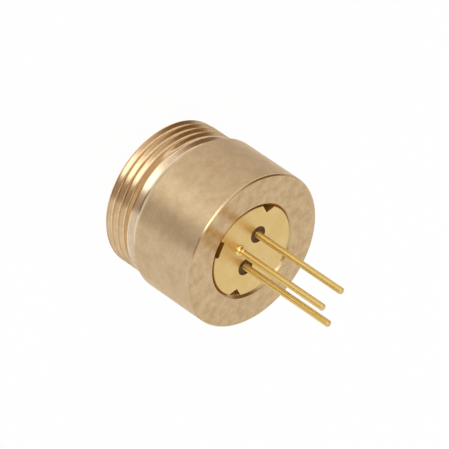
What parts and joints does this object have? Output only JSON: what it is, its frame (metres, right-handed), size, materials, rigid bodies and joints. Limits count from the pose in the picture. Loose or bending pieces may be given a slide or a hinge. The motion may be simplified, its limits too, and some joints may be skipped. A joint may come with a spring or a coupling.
{
  "type": "diode-pumped solid-state laser module",
  "caption": "Turned brass laser module with a fine-threaded front end, an output filter, a pump diode header set in its rear face and straight gold leads.",
  "frame": {"origin": "centre of the flat front face, on which the module stands", "axes": "+Z along the beam axis, from the front face towards the leads; -Y towards the case lead and the square index notch; the insulated leads lie on X, the anode towards -X"},
  "size_m": [0.0094, 0.0094, 0.0142],
  "materials": {
    "housing_brass": "satin turned brass with fine tool lines round the barrel",
    "holder_brass": "machined brass",
    "header_gold": "satin gold plating on stamped steel",
    "lead_gold": "smooth gold plating on nickel-iron wire",
    "wire_gold": "drawn gold",
    "cap_nickel": "satin nickel plating on drawn steel",
    "heat_sink_copper": "gold-flashed copper",
    "submount_ceramic": "fine matte ceramic with a metallised face",
    "pump_semiconductor": "cleaved semiconductor",
    "monitor_silicon": "polished silicon",
    "seal_glass": "dark fused sealing glass",
    "solder_glass": "dark glass solder",
    "window_glass": "clear coated glass",
    "filter_glass": "pale blue-green absorbing glass, polished",
    "ktp": "clear polished crystal",
    "vanadate": "pale violet polished crystal"
  },
  "bodies": {
    "root": {"housing": "housing_brass", "output_filter": "filter_glass", "crystal_holder": "holder_brass", "ktp_crystal": "ktp", "vanadate_crystal": "vanadate", "diode_cap": "cap_nickel", "cap_window": "window_glass", "window_solder_ring": "solder_glass", "diode_header": "header_gold", "heat_sink_block": "heat_sink_copper", "pump_submount": "submount_ceramic", "pump_chip": "pump_semiconductor", "monitor_photodiode": "monitor_silicon", "anode_seal": "seal_glass", "monitor_seal": "seal_glass", "anode_lead": "lead_gold", "monitor_lead": "lead_gold", "case_lead": "lead_gold", "chip_bond_wire": "wire_gold", "monitor_bond_wire": "wire_gold"}
  },
  "joints": []
}
